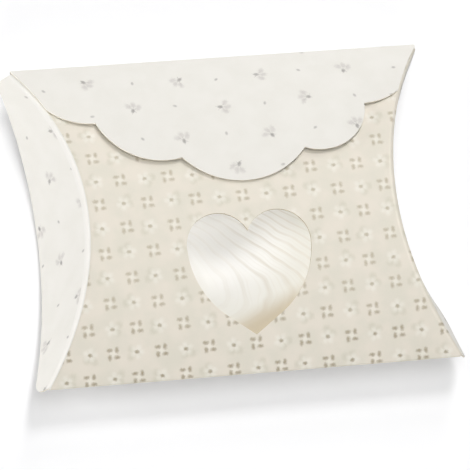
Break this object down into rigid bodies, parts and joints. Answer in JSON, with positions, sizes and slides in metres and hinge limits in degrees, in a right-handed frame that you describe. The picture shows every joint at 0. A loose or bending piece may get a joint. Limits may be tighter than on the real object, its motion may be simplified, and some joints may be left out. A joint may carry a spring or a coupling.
{
  "type": "pillow box",
  "caption": "Pillow box of thin folded card with bowed panels, pushed-in curved ends, a scalloped closing flap and a heart-shaped window.",
  "frame": {"origin": "on the surface the box rests on, under the middle of the box as it lies on its bowed back panel", "axes": "+X along the straight folds, towards the right end seen from the front; +Y across the panels towards the fold of the closing flap; +Z from the back panel up to the front panel"},
  "size_m": [0.1035, 0.0784, 0.0195],
  "materials": {
    "printed_front": "matte card printed with a small all-over flower pattern on beige",
    "sprig_card": "matte off-white card printed with scattered pale grey sprigs",
    "plain_card": "uncoated white side of the card"
  },
  "bodies": {
    "root": {"front_panel": "printed_front", "glue_tab": "plain_card", "foot_fold": "printed_front", "back_panel": "sprig_card", "top_fold": "sprig_card", "inner_end_flap_left": "plain_card", "inner_end_flap_right": "plain_card"},
    "closing_flap": {"closing_flap": "sprig_card"},
    "outer_end_flap_left": {"outer_end_flap_left": "sprig_card"},
    "outer_end_flap_right": {"outer_end_flap_right": "sprig_card"}
  },
  "joints": [
    {"name": "closing_flap_hinge", "type": "hinge", "parent": "root", "child": "closing_flap", "pos_m": [0, 0.03861, 0.01072], "axis": [-1, 0, 0], "range_deg": [0, 170]},
    {"name": "outer_end_flap_left_hinge", "type": "hinge", "parent": "root", "child": "outer_end_flap_left", "pos_m": [-0.0375, -0.00021, 0.019], "axis": [0, 1, 0], "range_deg": [0, 75]},
    {"name": "outer_end_flap_right_hinge", "type": "hinge", "parent": "root", "child": "outer_end_flap_right", "pos_m": [0.0375, -0.00021, 0.019], "axis": [0, -1, 0], "range_deg": [0, 75]}
  ]
}
